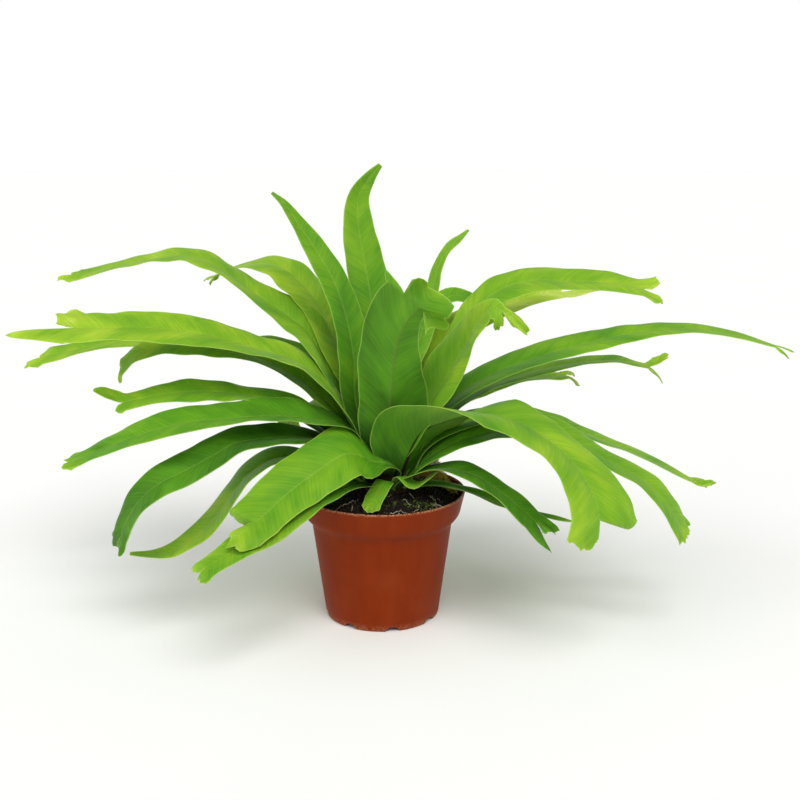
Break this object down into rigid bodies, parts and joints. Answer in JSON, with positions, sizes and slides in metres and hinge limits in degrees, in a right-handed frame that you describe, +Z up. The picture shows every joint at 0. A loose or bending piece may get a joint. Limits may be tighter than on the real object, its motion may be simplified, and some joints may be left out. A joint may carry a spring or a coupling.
{
  "type": "potted bird's-nest fern",
  "caption": "Crested bird's-nest fern: arching strap fronds with forked, ruffled tips, rooted in soil in a round tapered plastic nursery pot that stands on its flat base.",
  "frame": {"origin": "centre of the pot's flat underside, on the surface that it stands on", "axes": "+Z up along the pot's axis; +X to the viewer's right and -Y towards the viewer, in the picture's view"},
  "size_m": [0.5545, 0.283, 0.3201],
  "materials": {
    "pot": "satin",
    "soil": "matte",
    "crown": "matte",
    "frond": "satin",
    "frond_fresh": "satin",
    "frond_pale": "satin"
  },
  "bodies": {
    "root": {"pot": "pot", "soil": "soil", "crown": "crown", "frond_left_high": "frond", "frond_left_broad": "frond", "frond_left_under": "frond", "frond_left_hook": "frond", "frond_left_narrow": "frond", "frond_left_wide": "frond", "frond_left_arching": "frond", "frond_left_low_hook": "frond", "frond_front_left_broad": "frond", "frond_front_left_under": "frond", "frond_upright_tall": "frond", "frond_upright_left": "frond", "frond_back_left_bent": "frond", "frond_centre_crested": "frond", "frond_back_right_thin": "frond", "frond_right_crested": "frond", "frond_right_behind": "frond", "frond_right_high": "frond", "frond_right_yellow": "frond_fresh", "frond_right_long": "frond", "frond_right_second": "frond", "frond_right_third": "frond", "frond_front_right_broad": "frond", "frond_right_low_far": "frond", "frond_right_low_near": "frond", "frond_front_right_low": "frond", "frond_front_right_thin": "frond", "frond_back_arching": "frond", "frond_back_left_high": "frond", "frond_back_right_arching": "frond", "frond_back_low": "frond", "frond_back_low_left": "frond", "frond_front_stub": "frond", "frond_front_curl": "frond_pale"}
  },
  "joints": []
}
